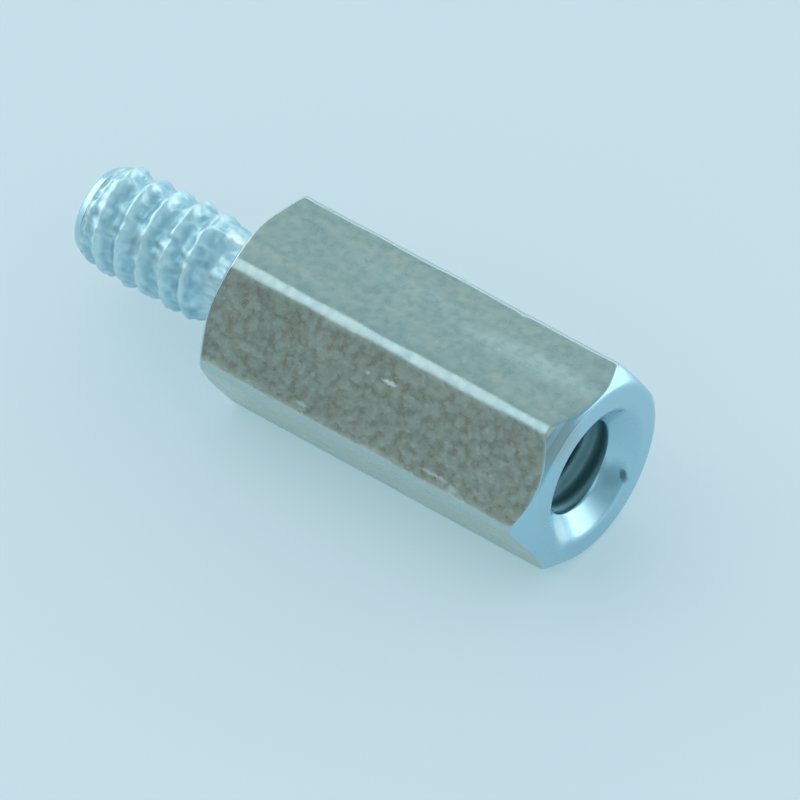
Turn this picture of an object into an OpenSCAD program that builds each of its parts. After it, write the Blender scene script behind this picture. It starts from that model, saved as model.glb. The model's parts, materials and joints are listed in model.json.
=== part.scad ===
// Hex standoff, turned in one piece from hexagon bar: a threaded stud at one end, a tapped and
// countersunk hole at the other. It lies on one flat with its axis along X, the stud towards -X and the
// hole's mouth towards +X, and the origin is on the surface it lies on, under the middle of its length.
// The threads are plain here: the stud is a cylinder of the thread's outer diameter, and the hole is
// the one that is drilled before tapping.

/* [Hexagon] */
// Width of the hexagon across its flats
across_flats = 4.7; // [3.9:0.05:8]
// Length of the hexagon, from the shoulder at the stud to the face at the hole
body_l = 9.6; // [8:0.1:40]
// Width of the blunt strip along each of the hexagon's long corners
corner_w = 0.22; // [0.05:0.01:0.6]

/* [End chamfers] */
// How far inside the flats each turned end face stops, measured along a radius
face_inset = 0.04; // [0.01:0.01:0.2]
// Slope of the chamfer at the stud end, from the shoulder's plane
stud_chamfer = 30; // [15:1:50]
// Slope of the chamfer at the hole end, from the face's plane
hole_chamfer = 45; // [15:1:50]

/* [Stud] */
// Outer diameter of the stud's thread
stud_d = 2.74; // [2.2:0.02:3.8]
// Length of the stud from the shoulder to its tip
stud_l = 4.75; // [3:0.05:20]
// Height and length of the 45 degree chamfer at the tip
tip_chamfer = 0.33; // [0.1:0.01:0.6]
// Diameter of the neck between the thread and the shoulder
neck_d = 2.06; // [1.6:0.02:2.7]
// Length of the neck's plain part
neck_l = 1.3; // [0.2:0.05:1.8]

/* [Tapped hole] */
// Diameter of the hole before tapping
hole_d = 2.26; // [1.6:0.02:3.2]
// Depth of the hole at its full diameter, from the end face
hole_l = 6.8; // [3:0.1:8.2]
// Angle of the drill point at the bottom of the hole
drill_angle = 118; // [90:1:140]
// Diameter of the countersink's mouth
sink_d = 3.44; // [3.3:0.02:4.4]
// Included angle of the countersink
sink_angle = 100; // [60:1:120]

/* [Hidden] */
$fn = 96;

// How far a cutting profile runs past the face that it starts from
past = 1;
// How far the stud's profile runs into the hexagon, so that the two join
root = 0.5;
half_turn = 30;

// The bar's corners end in a narrow strip of this radius about the axis
sharp_r = across_flats / 2 / cos(half_turn);
strip_r = norm([sharp_r - corner_w / 2 * tan(half_turn), corner_w / 2]);
face_r = across_flats / 2 - face_inset;
shoulder_rise = (strip_r - face_r) * tan(stud_chamfer);
face_rise = (strip_r - face_r) * tan(hole_chamfer);

stud_r = stud_d / 2;
neck_r = neck_d / 2;
// The neck's side climbs to the thread at 45 degrees
neck_end = neck_l + stud_r - neck_r;

hole_r = hole_d / 2;
point_l = hole_r / tan(drill_angle / 2);
sink_r = sink_d / 2;
sink_l = (sink_r - hole_r) / tan(sink_angle / 2);

// The hexagon bar, with its corners blunt and each end turned to a cone. The shoulder is at z = 0.
module hex_body() {
    intersection() {
        rotate(half_turn)
            cylinder(h = body_l, r = sharp_r, $fn = 6);
        rotate_extrude()
            polygon([
                [0, 0],
                [face_r, 0],
                [strip_r, shoulder_rise],
                [strip_r, body_l - face_rise],
                [face_r, body_l],
                [0, body_l]
            ]);
    }
}

// The stud below the shoulder: neck, threaded length and chamfered tip
module stud() {
    rotate_extrude()
        polygon([
            [0, root],
            [neck_r, root],
            [neck_r, -neck_l],
            [stud_r, -neck_end],
            [stud_r, tip_chamfer - stud_l],
            [stud_r - tip_chamfer, -stud_l],
            [0, -stud_l]
        ]);
}

// What the drill and the countersink take away, from the end face down
module hole_cut() {
    rotate_extrude()
        polygon([
            [0, body_l + past],
            [sink_r, body_l + past],
            [sink_r, body_l],
            [hole_r, body_l - sink_l],
            [hole_r, body_l - hole_l],
            [0, body_l - hole_l - point_l]
        ]);
}

module standoff() {
    color("LightSteelBlue")
        translate([(stud_l - body_l) / 2, 0, across_flats / 2])
            rotate([0, 90, 0])
                difference() {
                    union() {
                        hex_body();
                        stud();
                    }
                    hole_cut();
                }
}

standoff();
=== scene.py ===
"""The looks of a zinc-plated hex standoff: one turned piece with both of its threads cut."""

import json
import logging
import math
from dataclasses import dataclass, field
from enum import Enum

import bpy
import numpy as np
from mathutils import Matrix, Vector
from numpy.typing import ArrayLike, NDArray


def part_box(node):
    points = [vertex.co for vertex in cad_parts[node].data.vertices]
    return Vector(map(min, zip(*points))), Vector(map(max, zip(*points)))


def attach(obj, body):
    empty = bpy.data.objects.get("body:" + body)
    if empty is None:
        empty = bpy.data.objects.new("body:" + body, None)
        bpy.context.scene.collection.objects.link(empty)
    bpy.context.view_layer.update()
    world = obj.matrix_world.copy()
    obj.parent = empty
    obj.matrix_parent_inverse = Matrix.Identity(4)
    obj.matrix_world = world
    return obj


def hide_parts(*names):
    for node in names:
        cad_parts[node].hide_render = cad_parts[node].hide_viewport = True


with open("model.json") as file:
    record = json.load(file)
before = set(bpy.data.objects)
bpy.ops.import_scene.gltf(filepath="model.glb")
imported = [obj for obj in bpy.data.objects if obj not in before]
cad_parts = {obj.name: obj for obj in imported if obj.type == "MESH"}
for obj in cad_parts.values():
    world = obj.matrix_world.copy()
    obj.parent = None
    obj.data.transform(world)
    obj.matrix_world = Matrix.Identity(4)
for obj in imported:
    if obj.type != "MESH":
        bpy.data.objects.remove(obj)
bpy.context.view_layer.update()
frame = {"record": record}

log = logging.getLogger("standoff")

NODE = "standoff"
BODY = "root"
# The mesh's own values, which the finishes read.
RUBBED_AND_HIGHLIT = "rubbed_and_highlit"
SCUFFED = "scuffed"
# How thick the stud's plating is, which also sets the painted shade in its grooves.
BUILT_UP_AND_GROOVE_SHADE = "built_up_and_groove_shade"
# The name of the texture sheet that the surface is laid out on.
SHEET_NAME = "OFBake"

MM = 0.001
# Forty turns to the inch, in mm.
PITCH = 25.4 / 40
SIXTH = math.radians(60)
TURN = math.tau

Array = NDArray[np.float64]
Node = bpy.types.Node
Tree = bpy.types.NodeTree
Socket = bpy.types.NodeSocket
Feed = Node | Socket


class Zone(Enum):
    """The surfaces of the part that are finished differently. A value is the place in the material list."""

    THREAD = 0
    TURNED = 1
    FLAT = 2
    BORE = 3


class Patch(Enum):
    """The stretches that the surface is laid out in on its sheet, each with its low corner there in mm."""

    SIDES = (0.1, 0.1)
    FAR_END = (12.65, 2.75)
    NEAR_END = (18.05, 2.75)
    STUD = (10.0, 5.6)
    BORE = (14.95, 5.6)
    TIP = (11.3, 15.8)
    DRILL = (14.0, 15.8)


# The sheet that holds them all, in mm.
SHEET = 20.8


# ---------------------------------------------------------------------------------------------------
# Shared helpers
# ---------------------------------------------------------------------------------------------------


def linear(code: str) -> tuple[float, float, float, float]:
    """Turns an sRGB hex colour into linear red, green, blue and alpha.

    Args:
        code: The colour as six hex digits after a hash sign.

    Returns:
        The linear colour, fully opaque.
    """
    parts = [int(code[i : i + 2], 16) / 255 for i in (1, 3, 5)]
    red, green, blue = (p / 12.92 if p <= 0.04045 else ((p + 0.055) / 1.055) ** 2.4 for p in parts)
    return red, green, blue, 1.0


def add_node(tree: Tree, kind: str, feeds: dict | None = None, **settings: object) -> Node:
    """Adds one node with its settings and links.

    Args:
        tree: The node tree that it goes into.
        kind: The node's type name, without the ShaderNode prefix.
        feeds: For each input, by name or place: a value, an output, or a node for its first output in use.
        settings: The node's own properties.

    Returns:
        The new node.
    """
    node = tree.nodes.new("ShaderNode" + kind)
    for name, value in settings.items():
        setattr(node, name, value)
    for name, value in (feeds or {}).items():
        if isinstance(value, Node):
            value = next(output for output in value.outputs if output.enabled)
        if isinstance(value, Socket):
            tree.links.new(value, node.inputs[name])
        else:
            node.inputs[name].default_value = value
    return node


def span(start: float, end: float, low: float = 0.0, high: float = 1.0) -> dict[str, float]:
    """What makes a range run from low to high while its value runs from start to end."""
    return {"From Min": start, "From Max": end, "To Min": low, "To Max": high}


def soft_min(a: ArrayLike, b: ArrayLike, blend: ArrayLike) -> Array:
    """The lower of two values, with the corner where they cross rounded off on the low side.

    Args:
        a: The first value or array.
        b: The second value or array.
        blend: How wide the rounding is, in the same unit.

    Returns:
        The rounded lower value, never above either.
    """
    a, b = np.asarray(a, float), np.asarray(b, float)
    return (a + b - np.sqrt((a - b) ** 2 + blend**2)) / 2


def soft_max(a: ArrayLike, b: ArrayLike, blend: ArrayLike) -> Array:
    """The higher of two values, rounded in the same way on the high side.

    Args:
        a: The first value or array.
        b: The second value or array.
        blend: How wide the rounding is, in the same unit.

    Returns:
        The rounded higher value, never below either.
    """
    return -soft_min(-np.asarray(a, float), -np.asarray(b, float), blend)


def round_from(angle: Array, middle: float, turn: float = TURN) -> Array:
    """How far angles lie round from a middle one, which repeats each turn."""
    return (angle - middle + turn / 2) % turn - turn / 2


def steps_between(first: float, last: float, step: float) -> Array:
    """Evenly spaced values strictly between two ends.

    Args:
        first: The end to start from.
        last: The other end, which may be the lower one.
        step: The widest spacing.

    Returns:
        The values between the ends, in order.
    """
    count = max(1, math.ceil(abs(last - first) / step))
    return np.linspace(first, last, count + 1)[1:-1]


def slow_noise(points: Array, wave: float, seed: int) -> Array:
    """A smooth uneven field, made of a few crossing waves, for build-up and dents that the eye can't place.

    Args:
        points: Places in mm, one row of three numbers each.
        wave: The shortest wavelength in mm.
        seed: Which field to draw.

    Returns:
        One value for each point, mostly between -1 and 1.
    """
    rng = np.random.default_rng(seed)
    waves, longest = 14, 2.6
    total = np.zeros(len(points))
    for _ in range(waves):
        way = rng.normal(size=3)
        way /= np.linalg.norm(way)
        length = wave * rng.uniform(1.0, longest)
        total += np.sin(points @ way * (TURN / length) + rng.uniform(0, TURN))
    return total / math.sqrt(waves)


# ---------------------------------------------------------------------------------------------------
# The section and its threads
# ---------------------------------------------------------------------------------------------------


@dataclass(frozen=True)
class Thread:
    """A right-hand 60 degree unified thread about the X axis, as a radius over place and angle, in mm."""

    crest_r: float
    root_r: float
    crest_land: float
    phase: float
    inside: bool
    pitch: float = PITCH
    flank: float = math.radians(30)
    blend: float = 0.035

    def radius(self, x: ArrayLike, angle: ArrayLike) -> Array:
        """The thread's radius.

        Args:
            x: Places along the axis in mm.
            angle: Angles about the axis in radians, from +Y towards +Z.

        Returns:
            The radius at each, in mm.
        """
        turns = np.asarray(x, float) / self.pitch - np.asarray(angle, float) / TURN - self.phase
        away = np.abs(turns - np.round(turns)) * self.pitch
        depth = (away - self.crest_land / 2) / math.tan(self.flank)
        crest, root, blend = self.crest_r, self.root_r, self.blend
        if self.inside:
            return soft_min(soft_max(crest + depth, crest, blend), root, blend)
        return soft_max(soft_min(crest - depth, crest, blend), root, blend)


@dataclass(frozen=True)
class HexSection:
    """The bar's section: a hexagon whose corners end in a narrow round strip, in mm."""

    across_flats: float
    corner_r: float
    # How much the strip's edges are rounded at each corner, from the one at 0 degrees on.
    rounding: tuple[float, ...] = (0.02, 0.004, 0.036, 0.03, 0.02, 0.02)
    # How far each corner stands out past corner_r. The one at the top back was hardly touched by the lathe.
    proud: tuple[float, ...] = (0.0, 0.036, 0.0, 0.0, 0.0, 0.0)

    def radius(self, angle: ArrayLike, worn: ArrayLike = 0.0) -> Array:
        """The section's radius.

        Args:
            angle: Angles about the axis in radians. A corner lies at 0.
            worn: How much of the corners is rubbed away, in mm.

        Returns:
            The radius at each, in mm.
        """
        from_corner = np.abs(round_from(np.asarray(angle, float), 0.0, SIXTH))
        flat = self.across_flats / 2 / np.cos(SIXTH / 2 - from_corner)
        at = np.arange(6) * SIXTH
        blend, proud = (np.interp(angle, at, each, period=TURN) for each in (self.rounding, self.proud))
        return soft_min(flat, self.corner_r + proud - np.asarray(worn, float), blend)

    def strip_edge(self) -> float:
        """The angle from a corner's middle to the edge of its strip, in radians."""
        return SIXTH / 2 - math.acos(self.across_flats / 2 / self.corner_r)

    def columns(self, coarse: float = 3.0, fine: float = 0.3, reach: float = 1.0) -> Array:
        """Angles for the mesh's columns, close together where the section bends.

        Args:
            coarse: The widest spacing, in the middle of a flat, in degrees.
            fine: The narrowest spacing, at a strip's edge, in degrees.
            reach: How far from a strip's edge the spacing stays narrow, in degrees.

        Returns:
            The angles of one whole turn, in order.
        """
        samples = np.linspace(-SIXTH / 2, SIXTH / 2, 2001)
        near = np.exp(-(((np.abs(samples) - self.strip_edge()) / math.radians(reach)) ** 2))
        widest, narrowest = math.radians(coarse), math.radians(fine)
        density = 1 / widest + (1 / narrowest - 1 / widest) * near
        grown = np.concatenate([[0], np.cumsum((density[1:] + density[:-1]) / 2 * np.diff(samples))])
        count = round(grown[-1])
        one = np.interp(np.arange(count) / count * grown[-1], grown, samples)
        return np.concatenate([one + k * SIXTH for k in range(6)])


@dataclass
class Rows:
    """Rings of the surface, in order along the section: a place and a radius for each column."""

    x: list[Array] = field(default_factory=list)
    r: list[Array] = field(default_factory=list)
    zone: list[Zone] = field(default_factory=list)
    patch: list[Patch] = field(default_factory=list)

    def add(self, x: ArrayLike, r: ArrayLike, zone: Zone, patch: Patch, columns: int) -> None:
        """Adds one ring.

        Args:
            x: The ring's place along the axis, one number or one for each column.
            r: Its radius, one number or one for each column.
            zone: The finish of the surface from the ring before it to this one.
            patch: Where that surface is laid out on the texture sheet.
            columns: How many columns the mesh has.
        """
        self.patch.append(patch)
        self.x.append(np.broadcast_to(np.asarray(x, float), (columns,)))
        self.r.append(np.broadcast_to(np.asarray(r, float), (columns,)))
        self.zone.append(zone)


@dataclass(frozen=True)
class Dent:
    """A small knock in one of the bar's corners, in mm and degrees."""

    x: float
    angle: float
    width: float
    depth: float


@dataclass(frozen=True)
class Corner:
    """A corner of the turned section in one plane through the axis, and how much of it is broken."""

    x: Array
    r: Array
    broken: float


def broken_corner(before: Corner, here: Corner, after: Corner, steps: int) -> list[tuple[Array, Array]]:
    """Rounds a corner of the section with a short curve that ends along both sides.

    Args:
        before: The corner before it.
        here: The corner to round.
        after: The corner after it.
        steps: How many pieces the curve has.

    Returns:
        The place and radius of each ring of the curve.
    """
    spare = 0.46
    back = np.array([before.x - here.x, before.r - here.r])
    ahead = np.array([after.x - here.x, after.r - here.r])
    back_l, ahead_l = np.hypot(*back), np.hypot(*ahead)
    cut = np.minimum(here.broken, spare * np.minimum(back_l, ahead_l))
    start, end = back * (cut / back_l), ahead * (cut / ahead_l)
    rings = []
    for t in np.linspace(0, 1, steps + 1):
        off = (1 - t) ** 2 * start + t**2 * end
        rings.append((here.x + off[0], here.r + off[1]))
    return rings


# ---------------------------------------------------------------------------------------------------
# Finishes
# ---------------------------------------------------------------------------------------------------


@dataclass(frozen=True)
class Grain:
    """An uneven pattern: the size of its largest grains in mm, and how much finer detail it holds."""

    size: float
    detail: float = 2.0
    roughness: float = 0.5

    def inputs(self, place: Feed) -> dict[str, object]:
        """What feeds a noise texture that draws the pattern over places in metres."""
        scale = 1 / (self.size * MM)
        return {"Vector": place, "Scale": scale, "Detail": self.detail, "Roughness": self.roughness}


# The pattern that makes the outlines of marks uneven.
MARK_EDGE = Grain(0.12)


@dataclass(frozen=True)
class Mark:
    """A mark on the surface: its middle and half-sizes along X, Y and Z, in mm, and how strong it is."""

    place: tuple[float, float, float]
    half: tuple[float, float, float]
    strength: float = 1.0
    # The share of its half-sizes over which it keeps its full strength.
    core: float = 0.3

    def share(self, tree: Tree, place: Feed) -> Node:
        """Adds the nodes that fade the mark in from its edge to its middle.

        Args:
            tree: The material's node tree.
            place: The place on the surface, in metres, already a little uneven.

        Returns:
            A node that gives 0 outside the mark and its strength inside.
        """
        middle = tuple(v * MM for v in self.place)
        scale = tuple(1 / (v * MM) for v in self.half)
        away = add_node(tree, "VectorMath", {0: place, 1: middle}, operation="SUBTRACT")
        scaled = add_node(tree, "VectorMath", {0: away, 1: scale}, operation="MULTIPLY")
        reach = add_node(tree, "VectorMath", {0: scaled}, operation="LENGTH")
        fading = {"Value": reach, **span(1.0, self.core, 0.0, self.strength)}
        return add_node(tree, "MapRange", fading, interpolation_type="SMOOTHSTEP")


def all_marks(tree: Tree, place: Feed, marks: tuple[Mark, ...], uneven: float) -> Node:
    """Joins several marks into one share, and makes their outlines uneven.

    Args:
        tree: The material's node tree.
        place: The place on the surface, in metres.
        marks: The marks.
        uneven: How far their outlines wander, in mm.

    Returns:
        A node that gives a high value where any of the marks is.
    """
    wander = add_node(tree, "TexNoise", MARK_EDGE.inputs(place)).outputs["Color"]
    off = add_node(tree, "VectorMath", {0: wander, 1: (0.5, 0.5, 0.5)}, operation="SUBTRACT")
    small = add_node(tree, "VectorMath", {0: off, "Scale": uneven * MM}, operation="SCALE")
    moved = add_node(tree, "VectorMath", {0: place, 1: small}, operation="ADD")
    total = marks[0].share(tree, moved)
    for mark in marks[1:]:
        total = add_node(tree, "Math", {0: total, 1: mark.share(tree, moved)}, operation="MAXIMUM")
    return total


def layered(tree: Tree, base: str, *layers: tuple[Feed, str]) -> Node:
    """Lays colours over a base colour, one after another.

    Args:
        tree: The material's node tree.
        base: The colour under them all, as sRGB hex.
        layers: For each colour on top, how much of it shows, and its sRGB hex.

    Returns:
        A node that gives the colour that is seen in the end.
    """
    colour = linear(base)
    for share, code in layers:
        colour = add_node(tree, "Mix", {0: share, 6: colour, 7: linear(code)}, data_type="RGBA")
    return colour


@dataclass(frozen=True)
class Finish:
    """What every finish has: a name, and a material whose shader is fed by the finish's own nodes."""

    name: str

    def looks(self, tree: Tree, place: Feed) -> dict[str, object]:
        """Adds the finish's own nodes.

        Args:
            tree: The material's node tree.
            place: The place on the surface, in metres.

        Returns:
            What feeds the Principled shader, by the names of its inputs.
        """
        raise NotImplementedError

    def surface(self, tree: Tree, place: Feed) -> Node:
        """The shader of the whole surface: a Principled one alone, unless a finish adds to it."""
        return add_node(tree, "BsdfPrincipled", self.looks(tree, place))

    def material(self) -> bpy.types.Material:
        """Builds the material.

        Returns:
            The finished material.
        """
        material = bpy.data.materials.new(self.name)
        material.use_nodes = True
        tree = material.node_tree
        tree.nodes.clear()
        place = add_node(tree, "TexCoord").outputs["Object"]
        add_node(tree, "OutputMaterial", {"Surface": self.surface(tree, place)})
        return material


@dataclass(frozen=True)
class DrawnZinc(Finish):
    """Zinc plate on the bar's drawn flats: greenish grey and rather dull, mottled and slightly uneven.

    The bar keeps the skin of the drawing die under the plating. Its small hollows tilt the reflection, so
    a flat that mirrors something dark shows pale specks, while a flat that mirrors an even ceiling looks
    plain. Tumbling rubs the bar's corners and the ends of its flats a little brighter, and that colour is
    also a painted highlight tint along the ridge and the edges at the flats' ends.
    """

    name: str = "zinc_on_drawn_bar"
    plain: str = "#bccac3"
    stained: str = "#c6cfc5"
    speck: str = "#e2ece8"
    pale: str = "#dce8df"
    # Rubbing, and a painted highlight tint on the corners and the edges at the flats' ends.
    rubbed_and_highlit: str = "#b7cdcf"
    scratch: str = "#eef4f0"
    roughness: tuple[float, float] = (0.27, 0.38)
    scratch_roughness: float = 0.9
    # The shallow hollows of the drawn skin, its cloudy stains, its bright specks and the die's streaks.
    mottle: Grain = Grain(0.21, 2.0, 0.45)
    stain: Grain = Grain(1.3, 3.0, 0.6)
    fleck: Grain = Grain(0.12, 3.0, 0.6)
    streak: Grain = Grain(0.24, 3.0, 0.6)
    # The die draws the streaks out along X, and they count for more than the round stains.
    drawn_out: tuple[float, float, float] = (0.06, 1.0, 1.0)
    streak_weight: float = 1.4
    hollow: float = 0.023
    hollow_share: float = 0.6
    # The values of each pattern between which it shows more and more, and how much shows in the end.
    stained_at: tuple[float, ...] = (1.0, 1.4)
    speck_at: tuple[float, ...] = (0.54, 0.70, 0.0, 0.42)
    rubbed_and_highlit_at: tuple[float, ...] = (0.62, 1.35, 0.0, 0.8)
    mottle_at: tuple[float, ...] = (0.35, 0.65)
    knock_weight: float = 0.05
    worn_weight: float = 0.9
    # How far the outlines of its marks wander, in mm.
    knock_uneven: float = 0.3
    streak_uneven: float = 0.15
    scratch_uneven: float = 0.12
    marks: tuple[Mark, ...] = (
        Mark((2.60, -1.775, 3.98), (0.27, 0.08, 0.07), 0.75),
        Mark((2.00, -1.785, 3.96), (0.10, 0.09, 0.07), 0.35),
        Mark((0.62, -2.52, 2.69), (0.20, 0.07, 0.08), 0.35),
        Mark((4.45, -2.51, 2.71), (0.55, 0.05, 0.06), 0.35),
        Mark((5.00, -2.56, 2.62), (0.22, 0.08, 0.12), 0.35),
    )
    # Where the front flat was knocked about the most, near its two ends.
    busy: tuple[Mark, ...] = (
        Mark((5.5, -2.1, 3.4), (1.7, 1.3, 1.3), 1.0),
        Mark((-1.7, -1.8, 3.9), (1.1, 0.8, 0.8), 0.6),
    )
    # Two pale streaks that the drawing die left along the top.
    streaks: tuple[Mark, ...] = (
        Mark((5.3, 0.18, 4.70), (2.7, 0.46, 0.3), 0.7),
        Mark((1.5, 0.42, 4.70), (2.4, 0.30, 0.3), 0.25),
    )

    def looks(self, tree: Tree, place: Feed) -> dict[str, object]:
        """Adds the finish's own nodes.

        Args:
            tree: The material's node tree.
            place: The place on the surface, in metres.

        Returns:
            What feeds the Principled shader, by the names of its inputs.
        """
        grains = (self.mottle, self.stain, self.fleck)
        mottle, stain, flecks = (add_node(tree, "TexNoise", grain.inputs(place)) for grain in grains)
        # Cloudy patches, drawn out a little along the bar.
        drawn = add_node(tree, "Mapping", {"Vector": place, "Scale": self.drawn_out})
        lines = add_node(tree, "TexNoise", self.streak.inputs(drawn))
        both = {0: lines, 1: self.streak_weight, 2: stain}
        cloudy = add_node(tree, "Math", both, operation="MULTIPLY_ADD")
        stained = add_node(tree, "MapRange", {"Value": cloudy, **span(*self.stained_at)})
        # Specks are thickest where the bar was knocked about, and faint on the smooth top.
        scuff = add_node(tree, "Attribute", attribute_name=SCUFFED).outputs["Fac"]
        knocked_and_highlit = all_marks(tree, place, self.busy, self.knock_uneven)
        both = {0: knocked_and_highlit, 1: self.knock_weight, 2: flecks}
        thick = add_node(tree, "Math", both, operation="MULTIPLY_ADD")
        shiny = add_node(tree, "MapRange", {"Value": thick, **span(*self.speck_at)})
        flecked = add_node(tree, "Math", {0: shiny, 1: scuff}, operation="MULTIPLY")
        # The corners' colour from rubbing, which is also a painted highlight tint, wanders a little,
        # because the mottle shows through where it fades.
        share = add_node(tree, "Attribute", attribute_name=RUBBED_AND_HIGHLIT).outputs["Fac"]
        worn = add_node(tree, "Math", {0: mottle, 1: self.worn_weight, 2: share}, operation="MULTIPLY_ADD")
        bright = add_node(tree, "MapRange", {"Value": worn, **span(*self.rubbed_and_highlit_at)})
        scratched = all_marks(tree, place, self.marks, self.scratch_uneven)
        colour = layered(
            tree,
            self.plain,
            (stained, self.stained),
            (flecked, self.speck),
            (all_marks(tree, place, self.streaks, self.streak_uneven), self.pale),
            (bright, self.rubbed_and_highlit),
            (scratched, self.scratch),
        )
        rough = add_node(tree, "MapRange", {"Value": mottle, **span(*self.mottle_at, *self.roughness)})
        # A scratch scatters light from all round, so it stays pale whatever it mirrors.
        dull = add_node(tree, "Mix", {0: scratched, 2: rough, 3: self.scratch_roughness}, data_type="FLOAT")
        hollows = add_node(tree, "Math", {0: scuff, 1: self.hollow_share}, operation="MULTIPLY")
        bump = add_node(tree, "Bump", {"Height": mottle, "Strength": hollows, "Distance": self.hollow * MM})
        return {"Base Color": colour, "Roughness": dull, "Normal": bump, "Metallic": 1.0}


@dataclass(frozen=True)
class TurnedZinc(Finish):
    """Zinc plate on lathe-turned faces: bright and bluish, with fine rings left by the tool.

    A turned face is smoother than the drawn bar, so the plating there is shinier and its clear blue
    passivation shows.
    """

    name: str = "zinc_on_turned_face"
    plain: str = "#b2d6e3"
    deep: str = "#abd0de"
    # Painted shade and a painted dark reflection round the hole.
    painted_shade: str = "#4f6f74"
    # A painted highlight on one side of the countersink.
    painted_highlight: str = "#d6f0f6"
    streaked: str = "#b2bbb8"
    roughness: tuple[float, float] = (0.21, 0.30)
    painted_highlight_roughness: float = 0.6
    # The lathe's feed, drawn a little coarser than it was so that it shows.
    ring: float = 0.075
    ring_depth: float = 0.001
    ring_share: float = 0.5
    patch: Grain = Grain(0.5, 4.0, 0.55)
    patch_at: tuple[float, ...] = (0.3, 0.7)
    streak_at: tuple[float, ...] = (0.36, 0.56, 0.1)
    axis_z: float = 2.35
    uneven: float = 0.1
    # Dark spots of painted shade round the hole, the first one a painted dark reflection.
    painted_shade_spots: tuple[Mark, ...] = (
        Mark((7.07, 1.21, 1.31), (0.22, 0.12, 0.30), 0.85),
        Mark((7.04, 1.07, 3.52), (0.12, 0.24, 0.12), 0.5),
        Mark((6.93, 1.02, 1.40), (0.34, 0.46, 0.50), 0.3),
    )
    # Where the countersink's painted highlight lies.
    painted_highlight_patch: tuple[Mark, ...] = (Mark((6.98, -1.18, 1.32), (0.38, 0.50, 0.62), 0.95),)
    streaks: tuple[Mark, ...] = (Mark((6.98, -1.30, 4.45), (0.50, 1.05, 0.80), 1.0),)

    def looks(self, tree: Tree, place: Feed) -> dict[str, object]:
        """Adds the finish's own nodes.

        Args:
            tree: The material's node tree.
            place: The place on the surface, in metres.

        Returns:
            What feeds the Principled shader, by the names of its inputs.
        """
        axis = (0.0, 0.0, self.axis_z * MM)
        centred = add_node(tree, "VectorMath", {0: place, 1: axis}, operation="SUBTRACT")
        across = add_node(tree, "VectorMath", {0: centred, 1: (0.0, 1.0, 1.0)}, operation="MULTIPLY")
        radius = add_node(tree, "VectorMath", {0: across}, operation="LENGTH")
        scaled = add_node(tree, "Math", {0: radius, 1: 1 / (self.ring * MM)}, operation="MULTIPLY")
        feed = {"W": scaled, "Scale": 1.0, "Detail": 2.0}
        rings = add_node(tree, "TexNoise", feed, noise_dimensions="1D")
        patches = add_node(tree, "TexNoise", self.patch.inputs(place))
        # A few dark spots round the hole are painted shade, and one of them a painted dark reflection.
        # One side of the countersink is painted pale and rougher, a painted highlight that scatters light.
        # The chamfer over the front corner was cut with a worn tool, which left dull grey streaks round it.
        kinds = (self.painted_shade_spots, self.painted_highlight_patch, self.streaks)
        shaded, highlighted, worn = (all_marks(tree, place, marks, self.uneven) for marks in kinds)
        lined = add_node(tree, "MapRange", {"Value": rings, **span(*self.streak_at)})
        dull = add_node(tree, "Math", {0: worn, 1: lined}, operation="MULTIPLY")
        colour = layered(
            tree,
            self.deep,
            (patches, self.plain),
            (shaded, self.painted_shade),
            (highlighted, self.painted_highlight),
            (dull, self.streaked),
        )
        rough = add_node(tree, "MapRange", {"Value": patches, **span(*self.patch_at, *self.roughness)})
        matt = add_node(tree, "Mix", {0: highlighted, 2: rough, 3: self.painted_highlight_roughness}, data_type="FLOAT")
        depth = self.ring_depth * MM
        bump = add_node(tree, "Bump", {"Height": rings, "Strength": self.ring_share, "Distance": depth})
        return {"Base Color": colour, "Roughness": matt, "Normal": bump, "Metallic": 1.0}


@dataclass(frozen=True)
class ThreadZinc(Finish):
    """Zinc plate on the stud: the brightest of all, because current crowds there and it builds up.

    The build-up is uneven, so reflections break into beads along each crest, and it is slightly powdery,
    so it scatters part of the light.
    """

    name: str = "zinc_on_thread"
    plain: str = "#ccecf3"
    # The grooves' colour: thinner plating, and painted shade in the grooves.
    deep: str = "#9fcbd8"
    # A painted highlight on the neck's top.
    painted_neck_highlight: str = "#e8fafd"
    # A bead's top is smoother than the hollows between beads.
    roughness: tuple[float, float] = (0.47, 0.37)
    metallic: float = 0.77
    bead: Grain = Grain(0.24, 1.0, 0.4)
    bead_depth: float = 0.036
    bead_share: float = 0.6
    bead_weight: float = 1.7
    bead_at: tuple[float, ...] = (0.3, 0.7)
    built_up_and_shade_at: tuple[float, ...] = (0.75, 1.6)
    uneven: float = 0.15
    # Where the neck's painted highlight lies.
    neck_highlight_patch: tuple[Mark, ...] = (Mark((-3.36, 0.33, 3.36), (0.42, 0.40, 0.34), 1.0),)

    def looks(self, tree: Tree, place: Feed) -> dict[str, object]:
        """Adds the finish's own nodes.

        Args:
            tree: The material's node tree.
            place: The place on the surface, in metres.

        Returns:
            What feeds the Principled shader, by the names of its inputs.
        """
        beads = add_node(tree, "TexNoise", self.bead.inputs(place))
        # The plating is thick and pale on the crests, thin and dark in the grooves, where the dark colour
        # is also painted shade.
        thick = add_node(tree, "Attribute", attribute_name=BUILT_UP_AND_GROOVE_SHADE).outputs["Fac"]
        lumpy = add_node(tree, "Math", {0: beads, 1: self.bead_weight, 2: thick}, operation="MULTIPLY_ADD")
        lumps = add_node(tree, "MapRange", {"Value": lumpy, **span(*self.built_up_and_shade_at)})
        # A pale patch on the neck's top is a painted highlight.
        knocked_and_highlit = all_marks(tree, place, self.neck_highlight_patch, self.uneven)
        colour = layered(tree, self.deep, (lumps, self.plain), (knocked_and_highlit, self.painted_neck_highlight))
        rough = add_node(tree, "MapRange", {"Value": beads, **span(*self.bead_at, *self.roughness)})
        depth = self.bead_depth * MM
        bump = add_node(tree, "Bump", {"Height": beads, "Strength": self.bead_share, "Distance": depth})
        return {"Base Color": colour, "Roughness": rough, "Normal": bump, "Metallic": self.metallic}


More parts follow.
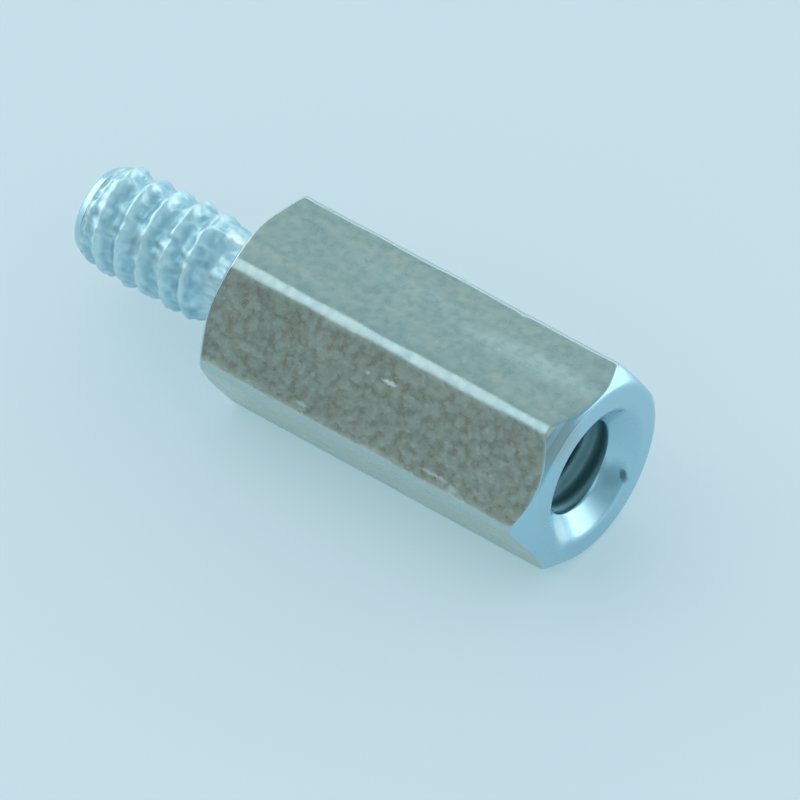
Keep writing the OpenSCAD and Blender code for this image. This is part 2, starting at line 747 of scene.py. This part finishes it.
@dataclass(frozen=True)
class BoreZinc(Finish):
    """The inside of the tapped hole: dark, dull and greenish; its darker colour is thin plating and also
    painted shade of the hole.

    Current hardly reaches in there, so the plating is thin, and its matt passive film scatters some light.
    """

    name: str = "zinc_in_bore_with_painted_shade"
    # Darker than the turned zinc: thin plating, and painted shade inside the hole.
    plain: str = "#97c0c6"
    deep: str = "#76a1a8"
    roughness: float = 0.55
    metallic: float = 0.8
    patch: Grain = Grain(0.25, 4.0, 0.6)
    patch_depth: float = 0.006
    patch_share: float = 0.5

    def looks(self, tree: Tree, place: Feed) -> dict[str, object]:
        """Adds the finish's own nodes.

        Args:
            tree: The material's node tree.
            place: The place on the surface, in metres.

        Returns:
            What feeds the Principled shader, by the names of its inputs.
        """
        patches = add_node(tree, "TexNoise", self.patch.inputs(place))
        colour = layered(tree, self.deep, (patches, self.plain))
        depth = self.patch_depth * MM
        bump = add_node(tree, "Bump", {"Height": patches, "Strength": self.patch_share, "Distance": depth})
        plain = {"Roughness": self.roughness, "Metallic": self.metallic}
        return {"Base Color": colour, "Normal": bump, **plain}


@dataclass(frozen=True)
class PalePaper(Finish):
    """Coated pale blue paper under the part: matt from above, with a sheen at low angles.

    It lets light through from below, so the part's shadow on it stays light and turns a little green.
    """

    name: str = "pale_paper"
    plain: str = "#9c9fa9"
    shade: str = "#9a9da7"
    glow: str = "#84a5ab"
    patch: Grain = Grain(60.0)
    roughness: float = 0.4

    def looks(self, tree: Tree, place: Feed) -> dict[str, object]:
        """Adds the finish's own nodes.

        Args:
            tree: The material's node tree.
            place: The place on the surface, in metres.

        Returns:
            What feeds the Principled shader, by the names of its inputs.
        """
        patches = add_node(tree, "TexNoise", self.patch.inputs(place))
        return {"Base Color": layered(tree, self.shade, (patches, self.plain)), "Roughness": self.roughness}

    def surface(self, tree: Tree, place: Feed) -> Node:
        """Adds the light that comes up through the paper, as it is seen straight on and in the metal.

        Args:
            tree: The material's node tree.
            place: The place on the surface, in metres.

        Returns:
            The shader of the whole surface.
        """
        paper = super().surface(tree, place)
        ray = add_node(tree, "LightPath").outputs
        rays = {0: ray["Is Camera Ray"], 1: ray["Is Glossy Ray"]}
        seen = add_node(tree, "Math", rays, operation="MAXIMUM")
        glow = add_node(tree, "Emission", {"Color": linear(self.glow), "Strength": seen})
        return add_node(tree, "AddShader", {0: paper, 1: glow})


# ---------------------------------------------------------------------------------------------------
# The part
# ---------------------------------------------------------------------------------------------------


@dataclass
class Standoff:
    """The standoff as one closed surface, ring by ring from the stud's tip to the drill point, in mm."""

    tip_x: float
    shoulder_x: float
    face_x: float
    bore_top_x: float
    bore_end_x: float
    stud_r: float
    bore_r: float
    across_flats: float
    corner_r: float
    # The stud's tip, which is chamfered before the thread is cut.
    tip_chamfer: float = 0.33
    tip_slope: float = math.radians(30)
    tip_r: float = 1.2
    tip_l: float = 0.3
    tip_edge: float = 0.07
    lead_in_l: float = 0.28
    # The stud's thread and the plain neck behind it.
    root_r: float = 1.16
    full_thread_l: float = 3.34
    run_out_l: float = 0.44
    neck_r: float = 1.03
    neck_l: float = 0.52
    stud_phase: float = 0.45
    stud_blend: float = 0.20
    # The hexagon's two ends.
    face_inset: float = 0.04
    stud_chamfer: float = math.radians(30)
    neck_fillet: float = 0.22
    shoulder_edge: float = 0.07
    arc_edge: float = 0.06
    edge_break: float = 0.045
    face_rounding: float = 0.12
    face_runout: float = 0.14
    runout_angle: float = math.radians(205)
    # The countersink, the tapped hole and its drill point.
    sink_half: float = math.radians(50)
    lip_edge: float = 0.12
    tapped_r: float = 1.36
    tapped_l: float = 5.2
    fade_l: float = 0.5
    mouth: float = 0.1
    bore_phase: float = 0.467
    bore_blend: float = 0.10
    point_half: float = math.radians(59)
    # How close the rings lie along the stud and the hole, and how many there are along the flats.
    row_step: float = 0.029
    bore_step: float = 0.042
    side_rings: int = 96
    # The unevenness that tumbling and plating leave.
    build_up: float = 0.030
    bead: float = 0.28
    bead_seed: int = 5
    bead_from: float = 0.1
    bead_to: float = 0.08
    wander: float = 0.018
    wander_wave: float = 0.7
    wander_seed: int = 11
    # Where the rubbing and the painted highlight tint lie: across each corner, and along the flats' ends.
    rub_and_highlight_width: float = 0.10
    rub_and_highlight_end: float = 0.05
    # The flat that was dragged about, how far round it is scuffed, and how scuffed the others are.
    scuffed_flat: float = math.radians(150)
    scuffed_half: float = math.radians(31)
    least_scuffed: float = 0.25
    dents: tuple[Dent, ...] = (
        Dent(5.0, 180.0, 0.11, 0.05),
        Dent(-0.6, 120.0, 0.10, 0.02),
        Dent(2.9, 120.0, 0.09, 0.025),
        Dent(1.3, 180.0, 0.08, 0.02),
        Dent(4.1, 60.0, 0.10, 0.025),
        Dent(0.4, 0.0, 0.12, 0.03),
        Dent(3.3, 300.0, 0.10, 0.03),
        Dent(5.6, 240.0, 0.09, 0.025),
    )

    @classmethod
    def from_frame(cls) -> "Standoff":
        """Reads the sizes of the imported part.

        Returns:
            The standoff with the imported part's own places and radii.
        """
        low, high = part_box(NODE)
        mounts = {m["name"]: m for m in frame["record"]["mounts"]}
        middle = {name: m["pos_m"][0] / MM for name, m in mounts.items()}
        stud, hole = mounts["stud"]["dims"], mounts["tapped_hole"]["dims"]
        hole_half = hole["length_mm"] / 2
        return cls(
            tip_x=low.x / MM,
            shoulder_x=middle["shoulder"],
            face_x=high.x / MM,
            bore_top_x=middle["tapped_hole"] + hole_half,
            bore_end_x=middle["tapped_hole"] - hole_half,
            stud_r=stud["r_mm"],
            bore_r=hole["r_mm"],
            across_flats=(high.z - low.z) / MM,
            corner_r=high.y / MM,
        )

    def __post_init__(self) -> None:
        """Works out the section and both threads from the sizes."""
        self.section = HexSection(self.across_flats, self.corner_r)
        self.angle = self.section.columns()
        self.face_r = self.across_flats / 2 - self.face_inset
        # Unified threads have an eighth of the pitch flat at a stud's crests, and a quarter in a hole.
        self.stud_thread = Thread(
            self.stud_r, self.root_r, PITCH / 8, self.stud_phase, inside=False, blend=self.stud_blend
        )
        self.bore_thread = Thread(
            self.bore_r, self.tapped_r, PITCH / 4, self.bore_phase, inside=True, blend=self.bore_blend
        )
        self.rows = Rows()

    def add(self, x: ArrayLike, r: ArrayLike, zone: Zone, patch: Patch) -> None:
        """Adds one ring to the surface."""
        self.rows.add(x, r, zone, patch, len(self.angle))

    def corner(self, x: ArrayLike, r: ArrayLike, broken: float = 0.0) -> Corner:
        """A section corner with a value for each column."""
        wide_x, wide_r = (np.broadcast_to(v, self.angle.shape).astype(float) for v in (x, r))
        return Corner(wide_x, wide_r, broken)

    def bar(self, x: ArrayLike) -> Array:
        """The hexagon's radius at a place along it, with the slow waves of its rubbed corners.

        Args:
            x: The place in mm, one number or one for each column.

        Returns:
            The radius for each column, in mm.
        """
        # Each corner has waves of its own, because its line lies this far from the next one's.
        apart = 7.0
        which = np.round(self.angle / SIXTH)
        points = np.stack([np.broadcast_to(x, which.shape), which * apart, which * 0.0], -1)
        waves = slow_noise(points, self.wander_wave, self.wander_seed)
        worn = self.wander * np.clip(0.5 + 0.45 * waves, 0, 1)
        return self.section.radius(self.angle, worn)

    def build_stud(self) -> None:
        """Lays the rings of the tip's face, its chamfer, the thread, its run-out and the neck."""
        tip_face_r = self.stud_r - self.tip_chamfer
        edge = self.tip_edge
        for share in (0.3, 0.6, 0.85):
            self.add(self.tip_x, (tip_face_r - edge) * share, Zone.TURNED, Patch.TIP)
        for t in np.linspace(0, 1, 6):
            x = self.tip_x + t**2 * edge * math.cos(self.tip_slope)
            r = tip_face_r - (1 - t) ** 2 * edge + t**2 * edge * math.sin(self.tip_slope)
            self.add(x, r, Zone.TURNED, Patch.TIP)
        start = self.tip_x + edge * math.cos(self.tip_slope)
        full = self.tip_x + self.full_thread_l
        # The groove opens behind this share of the chamfer, and follows the neck down by half.
        opening, follow = 0.6, 0.5
        blank_blend, crest_blend = 0.03, 0.04
        for x in steps_between(start, self.shoulder_x - self.neck_l, self.row_step):
            cone = tip_face_r + (x - self.tip_x) * math.tan(self.tip_slope)
            grown = np.clip((x - self.tip_x - self.tip_l) / self.lead_in_l, 0, 1)
            crest = self.tip_r + (self.stud_r - self.tip_r) * grown**2 * (3 - 2 * grown)
            shrink = (x - full) / self.run_out_l * (self.stud_r - self.neck_r)
            blank = soft_min(soft_min(cone, crest, blank_blend), self.stud_r - shrink, blank_blend)
            blank = soft_max(blank, self.neck_r, blank_blend)
            groove = self.stud_thread.radius(x, self.angle) - follow * np.maximum(self.root_r - blank, 0)
            opened = np.clip((x - self.tip_x - self.tip_l * opening) / self.tip_l, 0, 1)
            groove += (self.stud_r - self.root_r) * (1 - opened)
            zone = Zone.TURNED if cone < self.tip_r else Zone.THREAD
            self.add(x, soft_min(blank, groove, crest_blend), zone, Patch.STUD)

    def build_far_end(self) -> None:
        """Lays the rings of the shoulder and the chamfer round it, and starts the flats."""
        bar = self.bar(self.shoulder_x)
        self.far_arc = self.shoulder_x + (bar - self.face_r) * math.tan(self.stud_chamfer)
        path = [
            self.corner(self.shoulder_x - self.neck_l, self.neck_r),
            self.corner(self.shoulder_x, self.neck_r, self.neck_fillet),
            self.corner(self.shoulder_x, self.face_r, self.shoulder_edge),
            self.corner(self.far_arc, bar, self.arc_edge),
            self.corner(self.far_arc + 1.0, bar),
        ]
        self.add(path[0].x, path[0].r, Zone.THREAD, Patch.STUD)
        # The finish on each side of the three middle corners, and how many rings lie before each.
        zones = (Zone.THREAD, Zone.TURNED, Zone.TURNED, Zone.FLAT)
        between = (0, 4, 2)
        steps = 6
        for i, count in enumerate(between):
            rings = broken_corner(path[i], path[i + 1], path[i + 2], steps)
            last_x, last_r = self.rows.x[-1], self.rows.r[-1]
            for t in np.arange(1, count + 1) / (count + 1):
                step_x, step_r = (rings[0][0] - last_x) * t, (rings[0][1] - last_r) * t
                self.add(last_x + step_x, last_r + step_r, zones[i], Patch.FAR_END)
            for k, (x, r) in enumerate(rings):
                self.add(x, r, zones[i] if k <= steps // 2 else zones[i + 1], Patch.FAR_END)

    def turned(self, depth: Array) -> Array:
        """The turned profile of the hole's end: the 45 degree chamfer, which rounds over into the face.

        Args:
            depth: How far back from the face, one for each column, in mm.

        Returns:
            The profile's radius there, in mm.
        """
        share = np.sqrt(np.clip(depth / (self.face_rounding * math.sqrt(0.5)), 0, 1))
        towards = (1 + np.cos(self.angle - self.runout_angle)) / 2
        edge = self.face_r - self.face_runout * towards**2
        return edge + depth - self.face_rounding * (1 - share) ** 2

    def build_sides_and_near_end(self) -> None:
        """Lays the rings of the flats, the worn chamfer and the end ring, down to the sink's lip."""
        # Where the chamfer meets the flats, closed in on step by step.
        sharp = self.section.radius(self.angle)
        arc = np.zeros_like(sharp)
        for _ in range(40):
            arc = np.clip(arc + (sharp - self.turned(arc)) * 0.5, 0.001, 1.0)
        self.near_arc = self.face_x - arc
        # Rings that crowd towards the arc on the flats' side, and towards the face on the other.
        offsets = (0.26, 0.2, 0.15, 0.115, 0.085, 0.06, 0.04, 0.022, 0.008)
        arc_rings = 15
        last = self.rows.x[-1]
        first = self.near_arc - offsets[0]
        for t in np.arange(1, self.side_rings + 1) / (self.side_rings + 1):
            x = last + (first - last) * t
            self.add(x, self.bar(x), Zone.FLAT, Patch.SIDES)
        depths = [arc + off for off in offsets]
        depths += [arc * share**2 for share in np.linspace(1, 0, arc_rings)]
        zones = [Zone.FLAT] * len(offsets) + [Zone.TURNED] * arc_rings
        for depth, zone in zip(depths, zones):
            x = self.face_x - depth
            r = soft_min(self.bar(x), self.turned(depth), self.edge_break)
            self.add(x, r, zone, Patch.SIDES if zone is Zone.FLAT else Patch.NEAR_END)

    def build_sink(self) -> None:
        """Lays the rings of the end ring's plane, the sink's rounded lip and its cone."""
        sink_r = self.bore_r + (self.face_x - self.bore_top_x) * math.tan(self.sink_half)
        outer = self.rows.r[-1]
        before, here = self.corner(self.face_x, outer), self.corner(self.face_x, sink_r, self.lip_edge)
        after = self.corner(self.bore_top_x, self.bore_r)
        rings = broken_corner(before, here, after, 8)
        for t in (0.35, 0.7):
            self.add(self.face_x, outer + (rings[0][1] - outer) * t, Zone.TURNED, Patch.NEAR_END)
        for x, r in rings:
            self.add(x, r, Zone.TURNED, Patch.NEAR_END)

    def build_bore(self) -> None:
        """Lays the rings of the countersink, the internal thread, the plain bore and the drill point."""
        start = float(self.rows.x[-1][0])
        # The countersink's finish ends just inside the hole, and the plain stretch needs no rings.
        sink_end, plain_from, edge = 0.04, 0.1, 0.02
        for x in steps_between(start, self.bore_end_x, self.bore_step):
            cone = self.bore_r + max(x - self.bore_top_x, 0) * math.tan(self.sink_half)
            depth = self.face_x - x
            fade = np.clip((self.tapped_l + self.fade_l - depth) / self.fade_l, 0, 1)
            opened = np.clip((self.bore_top_x + self.mouth - x) / (3 * self.mouth), 0, 1)
            groove = self.bore_thread.radius(x, self.angle)
            groove = self.bore_r + (groove - self.bore_r) * fade * opened
            if depth > self.tapped_l + self.fade_l + plain_from:
                break
            in_sink = x > self.bore_top_x - sink_end
            zone, patch = (Zone.TURNED, Patch.NEAR_END) if in_sink else (Zone.BORE, Patch.BORE)
            self.add(x, soft_max(cone, groove, edge), zone, patch)
        self.add(self.bore_end_x, self.bore_r, Zone.BORE, Patch.BORE)
        point_l = self.bore_r / math.tan(self.point_half)
        self.drill_tip_x = self.bore_end_x - point_l
        for share in (0.66, 0.33):
            self.add(self.bore_end_x - point_l * (1 - share), self.bore_r * share, Zone.BORE, Patch.DRILL)

    def grid(self) -> tuple[Array, Array]:
        """The rings as two tables of places and radii, with the small unevenness of a real part.

        Returns:
            The places along the axis and the radii, one row for each ring.
        """
        x, r = np.array(self.rows.x), np.array(self.rows.r)
        points = np.stack([x, r * np.cos(self.angle), r * np.sin(self.angle)], -1).reshape(-1, 3)
        zone = np.array([z.value for z in self.rows.zone])[:, None]
        bead = slow_noise(points, self.bead, self.bead_seed).reshape(x.shape) * self.build_up
        along = (x > self.tip_x + self.bead_from) & (x < self.shoulder_x - self.bead_to)
        beaded = (zone == Zone.THREAD.value) & along
        # The beads only ever take away, so the stud keeps inside its outer diameter.
        r = np.where(beaded, r + np.clip(bead - 0.8 * self.build_up, -2 * self.build_up, 0), r)
        for dent in self.dents:
            around = r * round_from(self.angle, math.radians(dent.angle))
            near = np.exp(-((x - dent.x) ** 2 + around**2) / dent.width**2)
            r = np.where(zone == Zone.FLAT.value, r - dent.depth * near, r)
        return x, r

    def rubbed_and_highlit(self, x: Array, r: Array) -> Array:
        """How much each point has been rubbed bright against other parts in the plating barrel, and where a
        painted highlight tint lies.

        Args:
            x: The places along the axis.
            r: The radii.

        Returns:
            A share from 0 to 1 for each point, high on the bar's corners and round the ends of its flats.
        """
        from_corner = np.abs(round_from(self.angle, 0.0, SIXTH)) * r
        share = np.exp(-((from_corner / self.rub_and_highlight_width) ** 4))
        for arc, strength in ((self.near_arc, 0.8), (self.far_arc, 0.6)):
            share = np.maximum(share, np.exp(-(((x - arc) / self.rub_and_highlight_end) ** 2)) * strength)
        return share

    def scuffed(self, x: Array) -> Array:
        """How uneven the drawn skin is at each point: most on the flat that was dragged about.

        Args:
            x: The places along the axis.

        Returns:
            A share from 0 to 1 for each point.
        """
        away = round_from(self.angle, self.scuffed_flat)
        dragged = np.exp(-((away / self.scuffed_half) ** 8))
        return np.broadcast_to(self.least_scuffed + (1 - self.least_scuffed) * dragged, x.shape)

    def built_up_and_groove_shade(self, x: Array, r: Array) -> Array:
        """How thick the plating has grown at each point of the stud, which also places painted shade in the
        grooves.

        Args:
            x: The places along the axis.
            r: The radii.

        Returns:
            A share from 0 in the thread's grooves to 1 on its crests, and in between on the tip and neck.
        """
        groove, crest, plain = self.root_r + 0.03, self.stud_r - 0.05, 0.6
        share = np.clip((r - groove) / (crest - groove), 0, 1)
        along = x - self.tip_x
        on_neck = np.clip((along - self.full_thread_l) / self.run_out_l, 0, 1)
        on_tip = np.clip(1 - (along - self.tip_l) / self.lead_in_l, 0, 1)
        return share + (plain - share) * np.maximum(on_neck, on_tip)

    def sheet_place(self, patch: Patch, x: Array, r: Array, angle: Array) -> Array:
        """Where points lie on the texture sheet.

        Args:
            patch: The stretch of the surface that they belong to.
            x: Their places along the axis.
            r: Their radii.
            angle: Their angles.

        Returns:
            Two numbers for each point, between 0 and 1.
        """
        # Where each long patch starts, its scale along the part, and the radius that it is unrolled at.
        # The bore's is drawn a little smaller, since it hardly shows.
        unrolled = {
            Patch.SIDES: (self.shoulder_x, 1.0, self.across_flats / 2 * 1.1),
            Patch.STUD: (self.tip_x, 1.0, self.stud_r),
            Patch.BORE: (self.bore_end_x, 0.8, self.bore_r * 0.85),
        }
        if patch in unrolled:
            start, along, around = unrolled[patch]
            u, v = (x - start) * along, (angle - self.angle[0]) * around
        else:
            u, v = r * np.cos(angle), r * np.sin(angle)
        return np.stack([u + patch.value[0], v + patch.value[1]], -1) / SHEET

    def mesh(self) -> bpy.types.Mesh:
        """Builds the closed mesh from the rings.

        Returns:
            The mesh in metres, in the row frame, with its zones as material indices.
        """
        x, r = self.grid()
        rows, columns = x.shape
        lift = self.across_flats / 2
        ring = np.stack([x, r * np.cos(self.angle), r * np.sin(self.angle) + lift], -1).reshape(-1, 3)
        poles = np.array([[self.tip_x, 0, lift], [self.drill_tip_x, 0, lift]])
        places = np.concatenate([ring, poles]) * MM
        first = np.arange(rows - 1)[:, None] * columns
        here = np.arange(columns)[None, :]
        there = (here + 1) % columns
        quads = np.stack([first + here, first + columns + here, first + columns + there, first + there], -1)
        tip, bottom = rows * columns, rows * columns + 1
        faces = [(tip, j, (j + 1) % columns) for j in range(columns)]
        faces += quads.reshape(-1, 4).tolist()
        last = (rows - 1) * columns
        faces += [(last + j, bottom, last + (j + 1) % columns) for j in range(columns)]
        mesh = bpy.data.meshes.new(NODE + "_turned")
        mesh.from_pydata(places.tolist(), [], faces)
        zones = [z.value for z in self.rows.zone]
        indices = np.concatenate(
            [np.full(columns, zones[0]), np.repeat(zones[1:], columns), np.full(columns, zones[-1])]
        )
        mesh.polygons.foreach_set("material_index", indices.astype(np.int32))
        shares = {RUBBED_AND_HIGHLIT: self.rubbed_and_highlit(x, r), SCUFFED: self.scuffed(x), BUILT_UP_AND_GROOVE_SHADE: self.built_up_and_groove_shade(x, r)}
        for name, share in shares.items():
            values = np.append(share.reshape(-1), [0.0, 0.0]).astype(np.float32)
            mesh.attributes.new(name, "FLOAT", "POINT").data.foreach_set("value", values)
        self.lay_out(mesh, x, r)
        mesh.shade_smooth()
        mesh.update()
        return mesh

    def lay_out(self, mesh: bpy.types.Mesh, x: Array, r: Array) -> None:
        """Lays the surface out on its texture sheet, patch by patch, at an even scale.

        Args:
            mesh: The mesh, with the tip's fan first, then the rings' faces and the drill point's fan.
            x: The places along the axis, one row for each ring.
            r: The radii, one row for each ring.
        """
        columns = len(self.angle)
        low, high = self.angle, np.append(self.angle[1:], self.angle[0] + TURN)
        patches = self.rows.patch
        nothing = np.zeros(columns)
        after = np.roll(x[0], -1), np.roll(r[0], -1)
        tip = [(nothing, nothing, low), (x[0], r[0], low), (*after, high)]
        corners = [np.stack([self.sheet_place(patches[0], *c) for c in tip], 1).reshape(-1, 2)]
        for i in range(len(patches) - 1):
            here, there = (x[i], r[i]), (x[i + 1], r[i + 1])
            here_next, there_next = ((np.roll(a, -1), np.roll(b, -1)) for a, b in (here, there))
            quad = [(*here, low), (*there, low), (*there_next, high), (*here_next, high)]
            corners.append(np.stack([self.sheet_place(patches[i + 1], *c) for c in quad], 1).reshape(-1, 2))
        after = np.roll(x[-1], -1), np.roll(r[-1], -1)
        point = [(x[-1], r[-1], low), (nothing, nothing, low), (*after, high)]
        corners.append(np.stack([self.sheet_place(patches[-1], *c) for c in point], 1).reshape(-1, 2))
        layer = mesh.uv_layers.new(name=SHEET_NAME)
        layer.data.foreach_set("uv", np.concatenate(corners).astype(np.float32).reshape(-1))

    def build(self) -> bpy.types.Object:
        """Builds and dresses the part, and puts it in the place of its CAD node.

        Returns:
            The finished object.
        """
        self.build_stud()
        self.build_far_end()
        self.build_sides_and_near_end()
        self.build_sink()
        self.build_bore()
        piece = bpy.data.objects.new(NODE + "_turned", self.mesh())
        bpy.context.scene.collection.objects.link(piece)
        for finish in (ThreadZinc(), TurnedZinc(), DrawnZinc(), BoreZinc()):
            piece.data.materials.append(finish.material())
        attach(piece, BODY)
        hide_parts(NODE)
        return piece


# ---------------------------------------------------------------------------------------------------
# The studio
# ---------------------------------------------------------------------------------------------------


def way_to(azimuth: float, elevation: float) -> Vector:
    """The way to something seen from the part, as a vector of length 1.

    Args:
        azimuth: How far round it stands, in degrees anticlockwise from +X.
        elevation: How high it stands, in degrees above the floor.

    Returns:
        The vector.
    """
    turned, raised = math.radians(azimuth), math.radians(elevation)
    flat = math.cos(raised)
    return Vector((flat * math.cos(turned), flat * math.sin(turned), math.sin(raised)))


@dataclass(frozen=True)
class Lamp:
    """A soft box facing the part: where it stands in degrees and mm, its size in mm and its radiance."""

    name: str
    azimuth: float
    elevation: float
    distance: float
    width: float
    height: float
    radiance: float
    colour: str = "#ffffff"


@dataclass(frozen=True)
class Room:
    """The light of a room: paper that rises behind the part to a bright wall, a dim front, a ceiling."""

    backdrop: str = "#c8dee9"
    wall: str = "#f6fbfb"
    wall_strength: float = 1.95
    dim_low: str = "#6b5e46"
    dim_left: str = "#a5c3cd"
    dim_right: str = "#9ab7be"
    ceiling: str = "#98bac6"
    # The way to the middle of the bright wall, anticlockwise from +X.
    facing: float = math.radians(115)
    wall_from: float = -0.35
    wall_to: float = 0.45
    paper_from: float = 0.16
    paper_to: float = 0.34
    ceiling_from: float = 0.42
    ceiling_to: float = 0.58
    # The dim side turns from brown to blue upwards, and towards +X.
    dim_slope: float = 2.2
    dim_from: float = 0.0
    dim_to: float = 0.3
    left_x: float = -0.4
    right_x: float = 0.3
    paper_front: float = 0.70
    paper_back: float = 0.95

    def build(self) -> bpy.types.World:
        """Builds the world.

        Returns:
            The world, already given to the scene.
        """
        world = bpy.data.worlds.new("room")
        world.use_nodes = True
        tree = world.node_tree
        tree.nodes.clear()
        place = add_node(tree, "TexCoord").outputs["Generated"]
        facing = (math.cos(self.facing), math.sin(self.facing), 0.0)
        towards = add_node(tree, "VectorMath", {0: place, 1: facing}, operation="DOT_PRODUCT")
        way = add_node(tree, "SeparateXYZ", {"Vector": place}).outputs
        tilt = (1.0, 0.0, self.dim_slope)
        slant = add_node(tree, "VectorMath", {0: place, 1: tilt}, operation="DOT_PRODUCT")
        fades = (
            (towards, self.wall_from, self.wall_to),
            (way["Z"], self.paper_from, self.paper_to),
            (way["Z"], self.ceiling_from, self.ceiling_to),
            (slant, self.dim_from, self.dim_to),
            (way["X"], self.left_x, self.right_x),
        )
        side, risen, above, turned, across = (
            add_node(tree, "MapRange", {"Value": value, **span(low, high)}, interpolation_type="SMOOTHSTEP")
            for value, low, high in fades
        )
        brown, left, right, paper, ceiling = (
            add_node(tree, "Background", {"Color": linear(code)})
            for code in (self.dim_low, self.dim_left, self.dim_right, self.backdrop, self.ceiling)
        )
        wall = add_node(tree, "Background", {"Color": linear(self.wall), "Strength": self.wall_strength})
        blue = add_node(tree, "MixShader", {0: across, 1: left, 2: right})
        dim = add_node(tree, "MixShader", {0: turned, 1: brown, 2: blue})
        behind = add_node(tree, "MixShader", {0: risen, 1: paper, 2: wall})
        sides = add_node(tree, "MixShader", {0: side, 1: dim, 2: behind})
        whole = add_node(tree, "MixShader", {0: above, 1: sides, 2: ceiling})
        # Matt surfaces get plain soft light instead, a little less of it from the front.
        soft = {"Value": towards, **span(-1.0, 1.0, self.paper_front, self.paper_back)}
        strength = add_node(tree, "MapRange", soft)
        even = add_node(tree, "Background", {"Color": linear("#ffffff"), "Strength": strength})
        ray = add_node(tree, "LightPath").outputs
        diffuse = add_node(tree, "MixShader", {0: ray["Is Diffuse Ray"], 1: whole, 2: even})
        backdrop = add_node(tree, "Background", {"Color": linear(self.backdrop)})
        seen = add_node(tree, "MixShader", {0: ray["Is Camera Ray"], 1: diffuse, 2: backdrop})
        add_node(tree, "OutputWorld", {"Surface": seen})
        bpy.context.scene.world = world
        return world


@dataclass(frozen=True)
class Studio:
    """A pale paper floor, soft light round the part, small white cards close to it, and the camera."""

    floor_half: float = 1.2
    # The camera's, in degrees as for a lamp.
    azimuth: float = -52.73
    elevation: float = 45.34
    distance: float = 321.25
    lens: float = 630.0
    sensor: float = 36.0
    seen_from: float = 0.01
    seen_to: float = 100.0
    aim: tuple[float, float, float] = (2.2235, -0.8764, 2.4696)
    lamps: tuple[Lamp, ...] = (
        Lamp("top_box", 218.0, 60.0, 700.0, 300.0, 300.0, 0.27),
        Lamp("overhead", 212.0, 52.0, 700.0, 640.0, 600.0, 0.56),
        Lamp("window", 54.0, 9.3, 700.0, 560.0, 215.0, 0.75),
        Lamp("left_box", 176.0, 8.0, 700.0, 640.0, 230.0, 1.25),
        Lamp("right_box", 290.0, 12.0, 700.0, 180.0, 220.0, 0.5),
        Lamp("side_box", 334.0, 49.0, 700.0, 460.0, 300.0, 0.40),
        Lamp("card", 54.0, 4.0, 31.6, 20.0, 4.2, 1.0),
    )

    def floor(self) -> bpy.types.Object:
        """Lays the floor.

        Returns:
            The floor object.
        """
        half = self.floor_half
        mesh = bpy.data.meshes.new("floor")
        corners = [(-half, -half, 0), (half, -half, 0), (half, half, 0), (-half, half, 0)]
        mesh.from_pydata(corners, [], [(0, 1, 2, 3)])
        mesh.materials.append(PalePaper().material())
        piece = bpy.data.objects.new("floor", mesh)
        bpy.context.scene.collection.objects.link(piece)
        return piece

    def light(self, lamp: Lamp) -> bpy.types.Object:
        """Hangs one soft box, facing the part.

        Args:
            lamp: Its place, size and strength.

        Returns:
            The light object.
        """
        way = way_to(lamp.azimuth, lamp.elevation)
        data = bpy.data.lights.new(lamp.name, "AREA")
        data.shape = "RECTANGLE"
        data.size, data.size_y = lamp.width * MM, lamp.height * MM
        data.color = linear(lamp.colour)[:3]
        # A box of this power shows this radiance, whatever its size.
        data.energy = lamp.radiance * math.pi * data.size * data.size_y
        piece = bpy.data.objects.new(lamp.name, data)
        piece.location = way * lamp.distance * MM
        piece.rotation_euler = way.to_track_quat("Z", "Y").to_euler()
        piece.visible_camera = False
        bpy.context.scene.collection.objects.link(piece)
        return piece

    def camera(self) -> bpy.types.Object:
        """Places the camera.

        Returns:
            The camera object.
        """
        back = way_to(self.azimuth, self.elevation)
        right = Vector((0, 0, 1)).cross(back).normalized()
        up = back.cross(right)
        data = bpy.data.cameras.new("camera")
        data.lens = self.lens
        data.sensor_width = self.sensor
        data.clip_start, data.clip_end = self.seen_from, self.seen_to
        piece = bpy.data.objects.new("camera", data)
        turned = Matrix((right, up, back)).transposed()
        place = (Vector(self.aim) + back * self.distance) * MM
        piece.matrix_world = Matrix.Translation(place) @ turned.to_4x4()
        bpy.context.scene.collection.objects.link(piece)
        bpy.context.scene.camera = piece
        return piece

    def build(self) -> list[bpy.types.ID]:
        """Builds the whole studio.

        Returns:
            Everything that was made.
        """
        bpy.context.scene.view_settings.view_transform = "Standard"
        made = [self.floor(), Room().build(), self.camera()]
        made += [self.light(lamp) for lamp in self.lamps]
        return made


def main() -> None:
    """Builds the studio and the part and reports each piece."""
    logging.basicConfig(level=logging.INFO, format="%(name)s: %(message)s")
    for made in Studio().build():
        log.info("studio: %s", made.name)
    piece = Standoff.from_frame().build()
    log.info("%s: %d vertices, %d faces", piece.name, len(piece.data.vertices), len(piece.data.polygons))


if __name__ == "__main__":
    main()
